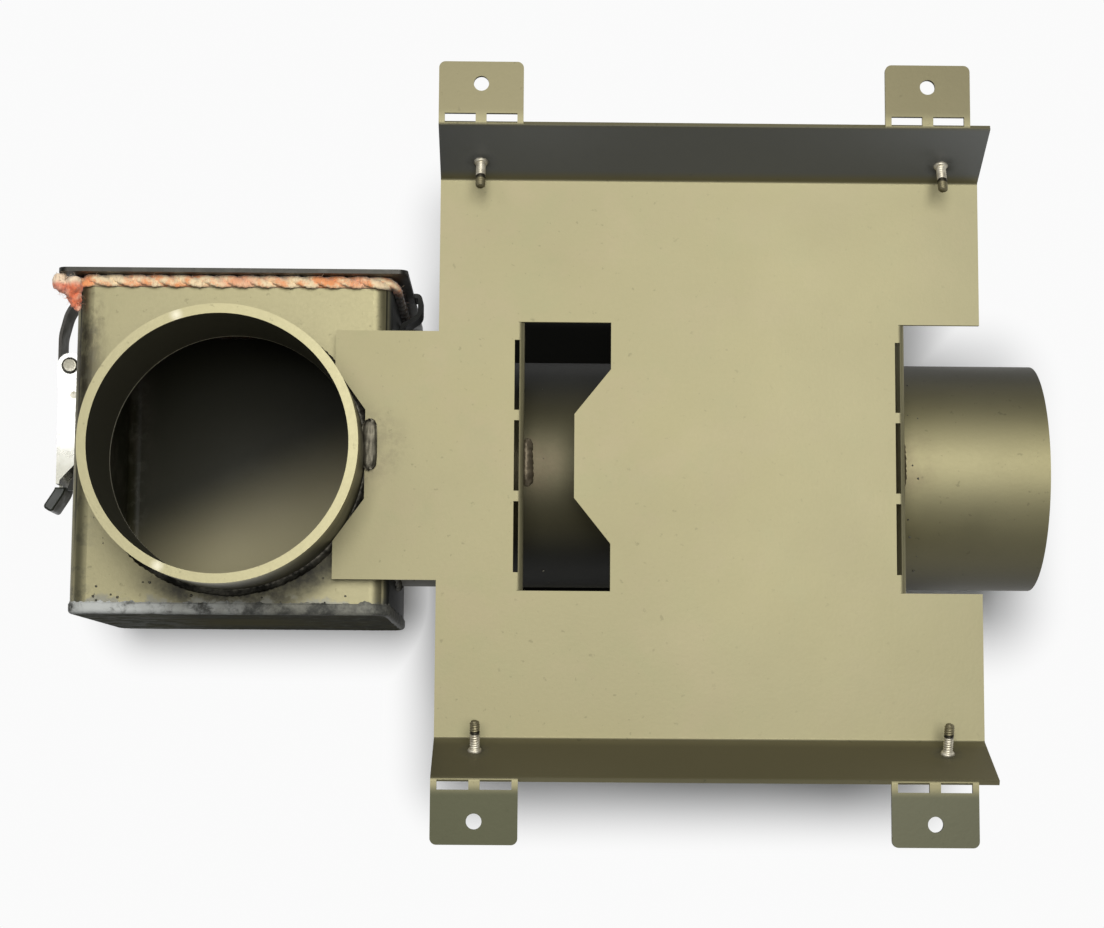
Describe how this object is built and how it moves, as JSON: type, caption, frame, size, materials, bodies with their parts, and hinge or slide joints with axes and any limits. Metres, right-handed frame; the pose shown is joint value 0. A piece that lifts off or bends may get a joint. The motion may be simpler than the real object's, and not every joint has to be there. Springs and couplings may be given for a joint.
{
  "type": "vent adapter",
  "caption": "Stove vent adapter: square clean-out box with latched, rope-sealed lid, round stove collar, pipe stub and a folded mounting plate.",
  "frame": {"origin": "where the stove collar's axis meets the front plane of the mounting plate", "axes": "+Z out of the collar's mouth, +X along the pipe to its free end, +Y from the box floor to the lid"},
  "size_m": [0.3327, 0.2424, 0.1395],
  "materials": {
    "bare_steel": "dull mill finish with a faint olive tint",
    "tube_steel": "satin tube with scale near the welds",
    "weld_steel": "rough weld bead, browned by heat",
    "bright_steel": "bright plated",
    "spring_steel": "dark tempered",
    "dipped_vinyl": "dull dark dip, rounded at the tip",
    "gasket_rope": "twisted heat-proof rope in cream, orange and pink"
  },
  "bodies": {
    "adapter": {"mounting_plate": "bare_steel", "stove_collar": "tube_steel", "flue_box": "tube_steel", "box_floor": "tube_steel", "floor_weld": "weld_steel", "collar_weld": "weld_steel", "flue_pipe": "tube_steel", "pipe_weld": "weld_steel", "wing_weld": "weld_steel", "middle_saddle_weld": "weld_steel", "end_saddle_weld": "weld_steel", "lid_keeper": "bare_steel", "keeper_rivet": "bright_steel", "latch_base": "spring_steel", "base_rivets": "bright_steel", "pivot_pin": "bright_steel", "upper_left_stud": "bright_steel", "upper_right_stud": "bright_steel", "lower_left_stud": "bright_steel", "lower_right_stud": "bright_steel"},
    "lid": {"lid_plate": "bare_steel", "rope_gasket": "gasket_rope"},
    "lever": {"latch_lever": "bright_steel", "finger_grip": "dipped_vinyl", "claw_pin": "bright_steel"},
    "claw": {"latch_claw": "spring_steel"}
  },
  "joints": [
    {"name": "lever_turn", "type": "hinge", "parent": "adapter", "child": "lever", "pos_m": [-0.0595, 0.0345, -0.05626], "axis": [0, 0, -1], "range_deg": [0, 90]},
    {"name": "claw_turn", "type": "hinge", "parent": "lever", "child": "claw", "pos_m": [-0.058, 0.0245, -0.05626], "axis": [0, 0, 1], "range_deg": [0, 125.01]},
    {"name": "lid_tilt", "type": "hinge", "parent": "adapter", "child": "lid", "pos_m": [0.05435, 0.06045, -0.05626], "axis": [0, 0, -1], "range_deg": [0, 11.55]}
  ],
  "couplings": [
    {"joint": "claw_turn", "follows": "lever_turn", "ratio": 1.3889},
    {"joint": "lid_tilt", "follows": "lever_turn", "ratio": 0.128}
  ]
}
